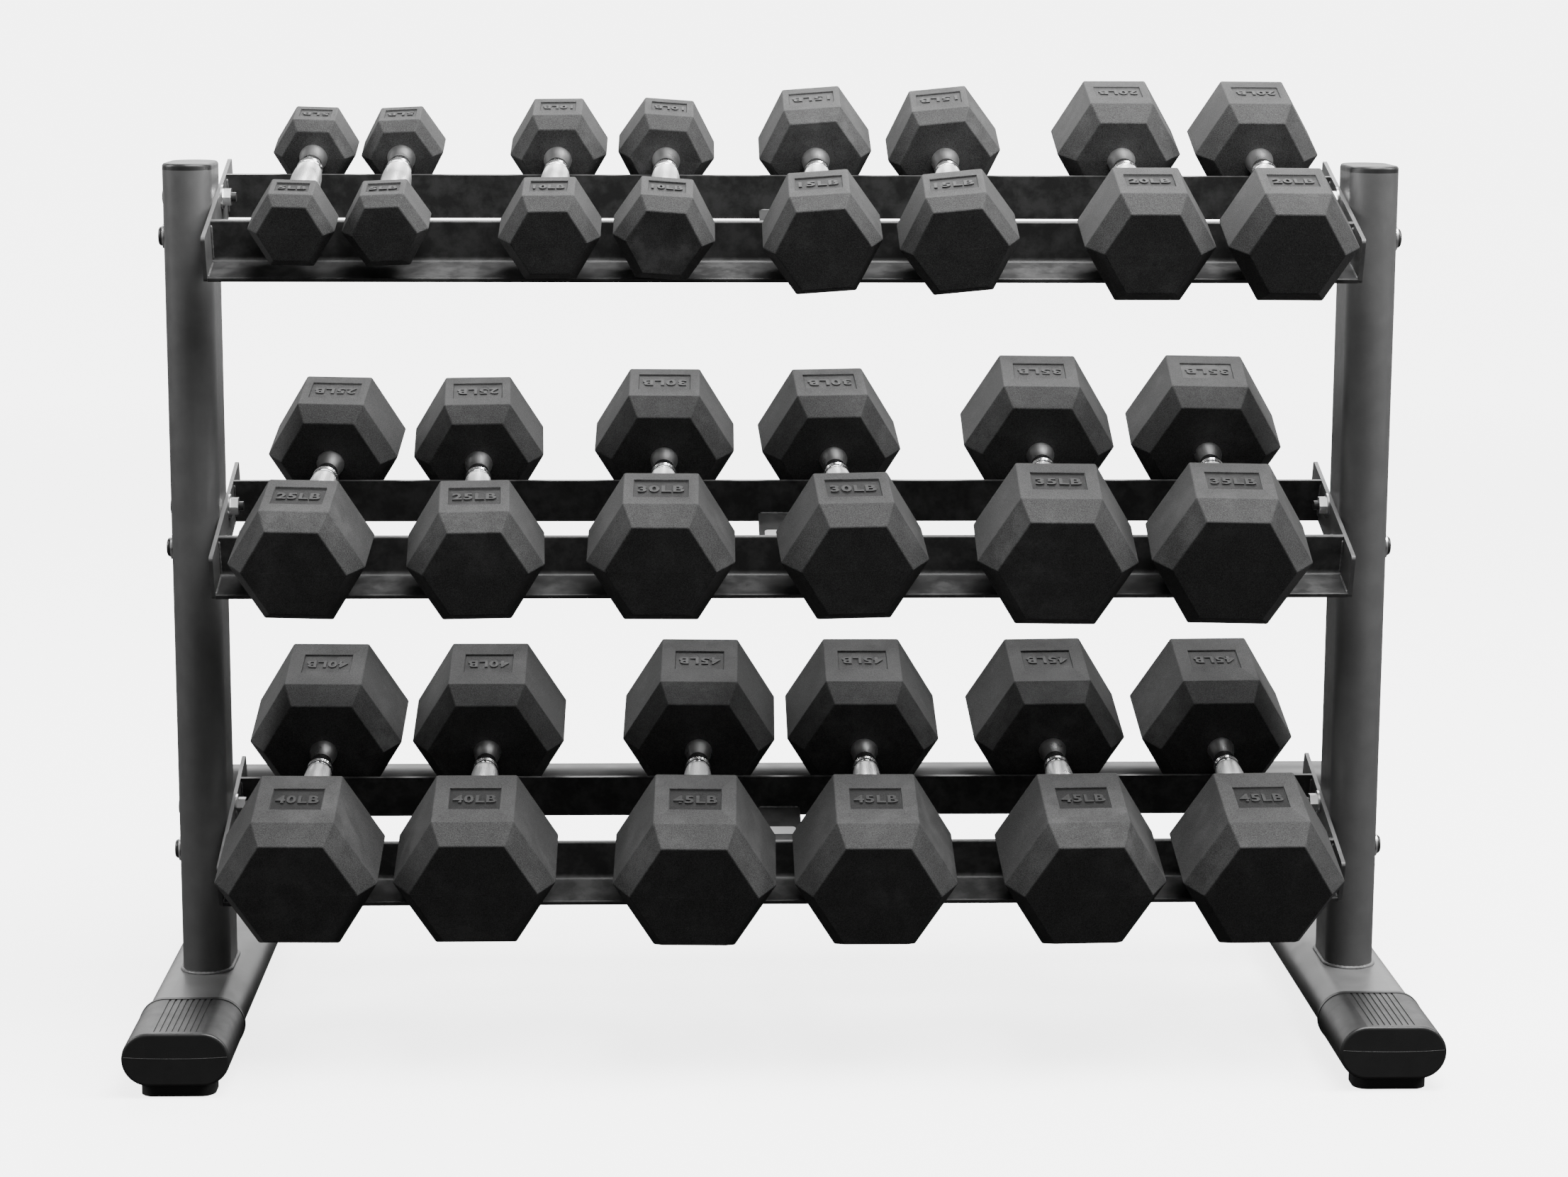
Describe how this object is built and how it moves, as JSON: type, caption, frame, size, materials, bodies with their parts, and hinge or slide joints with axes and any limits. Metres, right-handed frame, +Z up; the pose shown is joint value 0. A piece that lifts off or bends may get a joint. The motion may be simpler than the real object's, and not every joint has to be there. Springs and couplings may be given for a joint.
{
  "type": "dumbbell rack",
  "caption": "Three-tier angle-iron dumbbell rack on flat-oval steel uprights and feet, loaded with rubber hex dumbbells that lift off.",
  "frame": {"origin": "on the floor, at the middle of the rack's width and depth", "axes": "+X along the rack to its right as seen from the front, +Y from front to back, +Z up"},
  "size_m": [1.3224, 0.67, 0.9939],
  "materials": {
    "frame_paint": "satin",
    "foot_paint": "satin",
    "cap_plastic": "satin",
    "pad_rubber": "matte",
    "label_film": "satin",
    "black_steel": "satin",
    "zinc_steel": "satin",
    "head_rubber": "matte",
    "handle_chrome": "polished"
  },
  "bodies": {
    "rack": {"left_upright": "frame_paint", "right_upright": "frame_paint", "left_foot": "foot_paint", "right_foot": "foot_paint", "upright_caps": "cap_plastic", "foot_end_caps": "cap_plastic", "foot_pads": "pad_rubber", "rear_crossbar": "frame_paint", "top_front_rail": "frame_paint", "top_rear_rail": "frame_paint", "middle_front_rail": "frame_paint", "middle_rear_rail": "frame_paint", "bottom_front_rail": "frame_paint", "bottom_rear_rail": "frame_paint", "shelf_end_plates": "frame_paint", "centre_straps": "frame_paint", "strap_labels": "label_film", "bolts": "black_steel", "washers": "zinc_steel", "nuts": "zinc_steel"},
    "dumbbell_5lb_a": {"dumbbell_5lb_a_heads": "head_rubber", "dumbbell_5lb_a_handle": "handle_chrome"},
    "dumbbell_5lb_b": {"dumbbell_5lb_b_heads": "head_rubber", "dumbbell_5lb_b_handle": "handle_chrome"},
    "dumbbell_10lb_a": {"dumbbell_10lb_a_heads": "head_rubber", "dumbbell_10lb_a_handle": "handle_chrome"},
    "dumbbell_10lb_b": {"dumbbell_10lb_b_heads": "head_rubber", "dumbbell_10lb_b_handle": "handle_chrome"},
    "dumbbell_15lb_a": {"dumbbell_15lb_a_heads": "head_rubber", "dumbbell_15lb_a_handle": "handle_chrome"},
    "dumbbell_15lb_b": {"dumbbell_15lb_b_heads": "head_rubber", "dumbbell_15lb_b_handle": "handle_chrome"},
    "dumbbell_20lb_a": {"dumbbell_20lb_a_heads": "head_rubber", "dumbbell_20lb_a_handle": "handle_chrome"},
    "dumbbell_20lb_b": {"dumbbell_20lb_b_heads": "head_rubber", "dumbbell_20lb_b_handle": "handle_chrome"},
    "dumbbell_25lb_a": {"dumbbell_25lb_a_heads": "head_rubber", "dumbbell_25lb_a_handle": "handle_chrome"},
    "dumbbell_25lb_b": {"dumbbell_25lb_b_heads": "head_rubber", "dumbbell_25lb_b_handle": "handle_chrome"},
    "dumbbell_30lb_a": {"dumbbell_30lb_a_heads": "head_rubber", "dumbbell_30lb_a_handle": "handle_chrome"},
    "dumbbell_30lb_b": {"dumbbell_30lb_b_heads": "head_rubber", "dumbbell_30lb_b_handle": "handle_chrome"},
    "dumbbell_35lb_a": {"dumbbell_35lb_a_heads": "head_rubber", "dumbbell_35lb_a_handle": "handle_chrome"},
    "dumbbell_35lb_b": {"dumbbell_35lb_b_heads": "head_rubber", "dumbbell_35lb_b_handle": "handle_chrome"},
    "dumbbell_40lb_a": {"dumbbell_40lb_a_heads": "head_rubber", "dumbbell_40lb_a_handle": "handle_chrome"},
    "dumbbell_40lb_b": {"dumbbell_40lb_b_heads": "head_rubber", "dumbbell_40lb_b_handle": "handle_chrome"},
    "dumbbell_45lb_a": {"dumbbell_45lb_a_heads": "head_rubber", "dumbbell_45lb_a_handle": "handle_chrome"},
    "dumbbell_45lb_b": {"dumbbell_45lb_b_heads": "head_rubber", "dumbbell_45lb_b_handle": "handle_chrome"},
    "dumbbell_45lb_c": {"dumbbell_45lb_c_heads": "head_rubber", "dumbbell_45lb_c_handle": "handle_chrome"},
    "dumbbell_45lb_d": {"dumbbell_45lb_d_heads": "head_rubber", "dumbbell_45lb_d_handle": "handle_chrome"}
  },
  "joints": [
    {"name": "dumbbell_5lb_a_lift", "type": "slide", "parent": "rack", "child": "dumbbell_5lb_a", "axis": [0, -0.2957, 0.9553], "range_m": [0, 0.3]},
    {"name": "dumbbell_5lb_b_lift", "type": "slide", "parent": "rack", "child": "dumbbell_5lb_b", "axis": [0, -0.2957, 0.9553], "range_m": [0, 0.3]},
    {"name": "dumbbell_10lb_a_lift", "type": "slide", "parent": "rack", "child": "dumbbell_10lb_a", "axis": [0, -0.2957, 0.9553], "range_m": [0, 0.3]},
    {"name": "dumbbell_10lb_b_lift", "type": "slide", "parent": "rack", "child": "dumbbell_10lb_b", "axis": [0, -0.2957, 0.9553], "range_m": [0, 0.3]},
    {"name": "dumbbell_15lb_a_lift", "type": "slide", "parent": "rack", "child": "dumbbell_15lb_a", "axis": [0, -0.2957, 0.9553], "range_m": [0, 0.3]},
    {"name": "dumbbell_15lb_b_lift", "type": "slide", "parent": "rack", "child": "dumbbell_15lb_b", "axis": [0, -0.2957, 0.9553], "range_m": [0, 0.3]},
    {"name": "dumbbell_20lb_a_lift", "type": "slide", "parent": "rack", "child": "dumbbell_20lb_a", "axis": [0, -0.2957, 0.9553], "range_m": [0, 0.3]},
    {"name": "dumbbell_20lb_b_lift", "type": "slide", "parent": "rack", "child": "dumbbell_20lb_b", "axis": [0, -0.2957, 0.9553], "range_m": [0, 0.3]},
    {"name": "dumbbell_25lb_a_lift", "type": "slide", "parent": "rack", "child": "dumbbell_25lb_a", "axis": [0, -0.2957, 0.9553], "range_m": [0, 0.12]},
    {"name": "dumbbell_25lb_b_lift", "type": "slide", "parent": "rack", "child": "dumbbell_25lb_b", "axis": [0, -0.2957, 0.9553], "range_m": [0, 0.12]},
    {"name": "dumbbell_30lb_a_lift", "type": "slide", "parent": "rack", "child": "dumbbell_30lb_a", "axis": [0, -0.2957, 0.9553], "range_m": [0, 0.12]},
    {"name": "dumbbell_30lb_b_lift", "type": "slide", "parent": "rack", "child": "dumbbell_30lb_b", "axis": [0, -0.2957, 0.9553], "range_m": [0, 0.12]},
    {"name": "dumbbell_35lb_a_lift", "type": "slide", "parent": "rack", "child": "dumbbell_35lb_a", "axis": [0, -0.2957, 0.9553], "range_m": [0, 0.12]},
    {"name": "dumbbell_35lb_b_lift", "type": "slide", "parent": "rack", "child": "dumbbell_35lb_b", "axis": [0, -0.2957, 0.9553], "range_m": [0, 0.12]},
    {"name": "dumbbell_40lb_a_lift", "type": "slide", "parent": "rack", "child": "dumbbell_40lb_a", "axis": [0, -0.2957, 0.9553], "range_m": [0, 0.12]},
    {"name": "dumbbell_40lb_b_lift", "type": "slide", "parent": "rack", "child": "dumbbell_40lb_b", "axis": [0, -0.2957, 0.9553], "range_m": [0, 0.12]},
    {"name": "dumbbell_45lb_a_lift", "type": "slide", "parent": "rack", "child": "dumbbell_45lb_a", "axis": [0, -0.2957, 0.9553], "range_m": [0, 0.12]},
    {"name": "dumbbell_45lb_b_lift", "type": "slide", "parent": "rack", "child": "dumbbell_45lb_b", "axis": [0, -0.2957, 0.9553], "range_m": [0, 0.12]},
    {"name": "dumbbell_45lb_c_lift", "type": "slide", "parent": "rack", "child": "dumbbell_45lb_c", "axis": [0, -0.2957, 0.9553], "range_m": [0, 0.12]},
    {"name": "dumbbell_45lb_d_lift", "type": "slide", "parent": "rack", "child": "dumbbell_45lb_d", "axis": [0, -0.2957, 0.9553], "range_m": [0, 0.12]}
  ]
}
